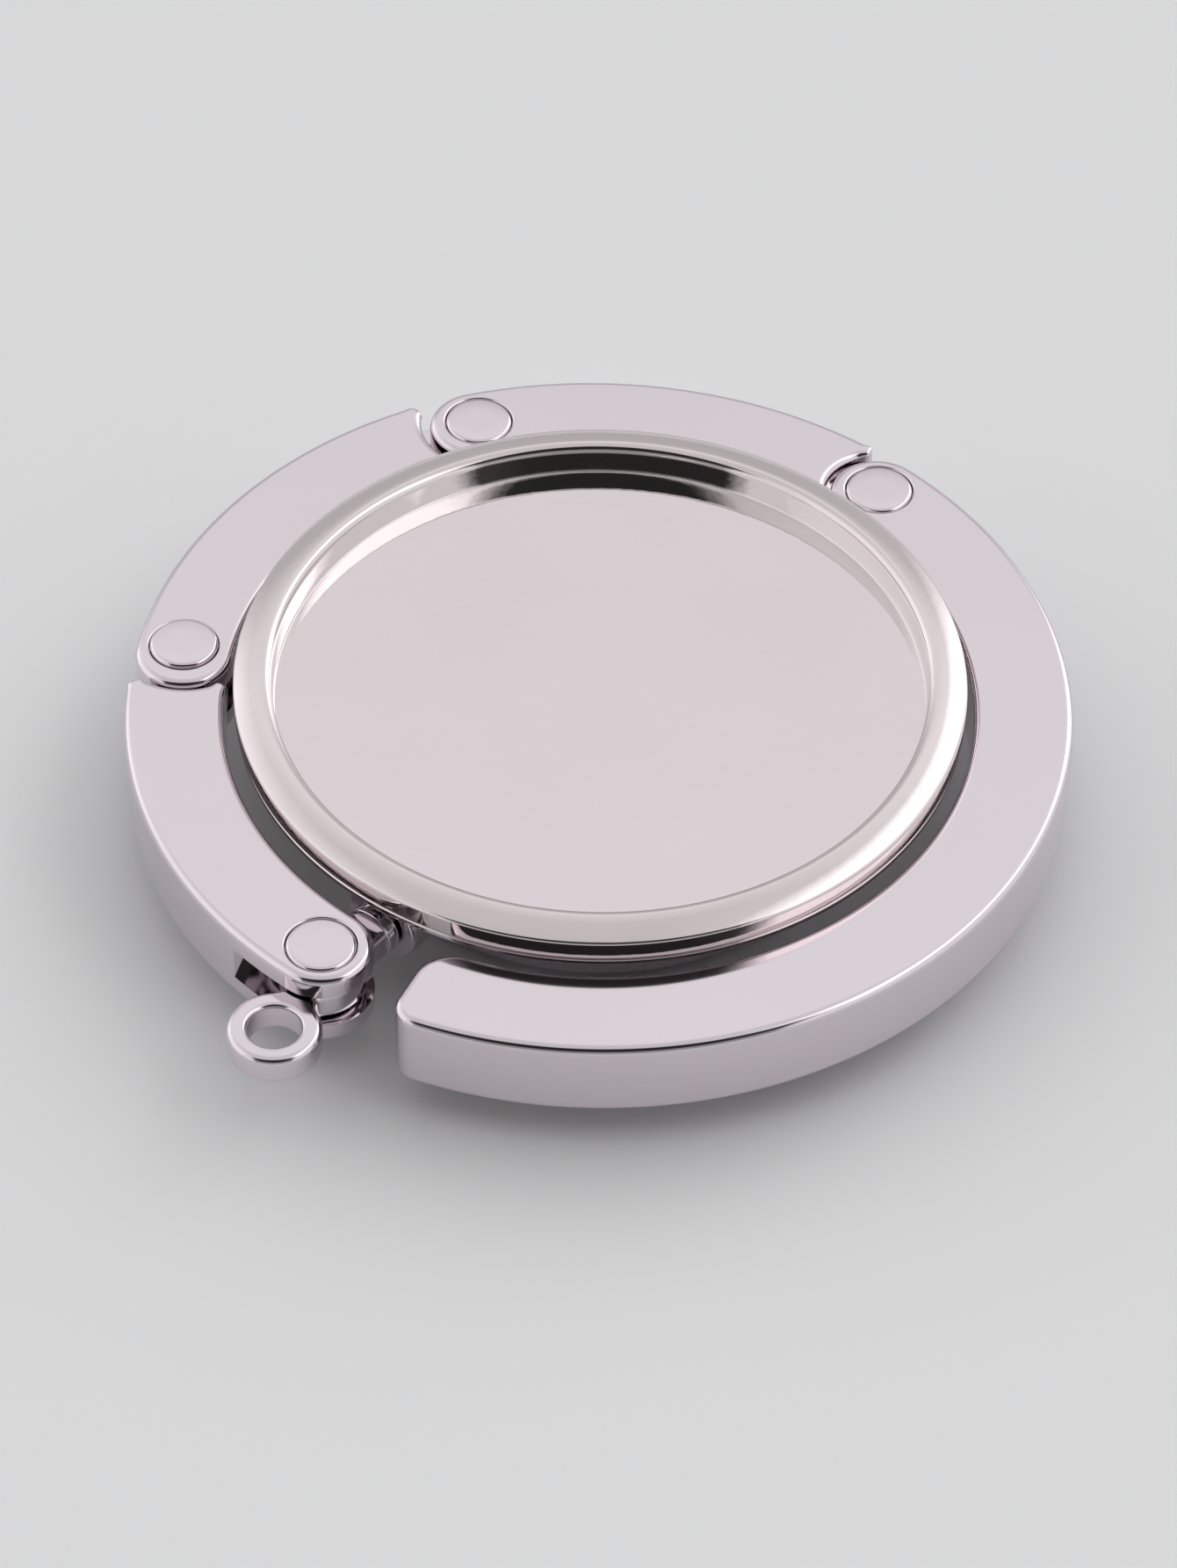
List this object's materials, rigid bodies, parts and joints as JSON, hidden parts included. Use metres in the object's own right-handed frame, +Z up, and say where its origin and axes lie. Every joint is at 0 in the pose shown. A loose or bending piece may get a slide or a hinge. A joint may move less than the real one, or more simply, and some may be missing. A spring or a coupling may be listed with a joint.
{
  "type": "folding purse hook",
  "caption": "Folding purse hook with a round rimmed tray, a non-slip pad, a swivel stud with an eyelet, and hinged curved links folded round it into a ring.",
  "frame": {"origin": "centre of the underside of the non-slip pad, where the part stands on a table", "axes": "+Z up, along the tray's axis; +X towards the middle of the hook link; the swivel axis points out at 232.2 degrees anticlockwise from +X"},
  "size_m": [0.0453, 0.0454, 0.0083],
  "materials": {
    "tray": "mirror-polished nickel-look plating",
    "base_drum": "mirror-polished nickel-look plating",
    "non_slip_pad": "matt black rubber",
    "swivel_stud": "polished nickel-look plating",
    "swivel_washer": "polished nickel-look plating",
    "first_link": "mirror-polished nickel-look plating",
    "second_link": "mirror-polished nickel-look plating",
    "third_link": "mirror-polished nickel-look plating",
    "hook_link": "mirror-polished nickel-look plating",
    "hinge_rivet_1": "polished nickel-look plating",
    "hinge_rivet_2": "polished nickel-look plating",
    "hinge_rivet_3": "polished nickel-look plating",
    "hinge_rivet_4": "polished nickel-look plating"
  },
  "bodies": {
    "base": {"tray": "tray", "base_drum": "base_drum", "non_slip_pad": "non_slip_pad"},
    "stud": {"swivel_stud": "swivel_stud", "swivel_washer": "swivel_washer"},
    "link_one": {"first_link": "first_link", "hinge_rivet_1": "hinge_rivet_1"},
    "link_two": {"second_link": "second_link", "hinge_rivet_2": "hinge_rivet_2"},
    "link_three": {"third_link": "third_link", "hinge_rivet_3": "hinge_rivet_3"},
    "hook": {"hook_link": "hook_link", "hinge_rivet_4": "hinge_rivet_4"}
  },
  "joints": [
    {"name": "swivel", "type": "hinge", "parent": "base", "child": "stud", "pos_m": [0, 0, 0.00428], "axis": [-0.6129, -0.7902, 0], "continuous": true},
    {"name": "first_hinge", "type": "hinge", "parent": "stud", "child": "link_one", "pos_m": [-0.01263, -0.01628, 0.00428], "axis": [0, 0, 1], "range_deg": [0, 36]},
    {"name": "second_hinge", "type": "hinge", "parent": "link_one", "child": "link_two", "pos_m": [-0.02003, 0.00328, 0.00428], "axis": [0, 0, 1], "range_deg": [0, 45]},
    {"name": "third_hinge", "type": "hinge", "parent": "link_two", "child": "link_three", "pos_m": [-0.00623, 0.01964, 0.00428], "axis": [0, 0, 1], "range_deg": [0, 45]},
    {"name": "hook_hinge", "type": "hinge", "parent": "link_three", "child": "hook", "pos_m": [0.01369, 0.01499, 0.00428], "axis": [0, 0, 1], "range_deg": [0, 45]}
  ],
  "couplings": [
    {"joint": "third_hinge", "follows": "hook_hinge", "ratio": 1},
    {"joint": "second_hinge", "follows": "hook_hinge", "ratio": 1},
    {"joint": "first_hinge", "follows": "hook_hinge", "ratio": 0.8}
  ]
}
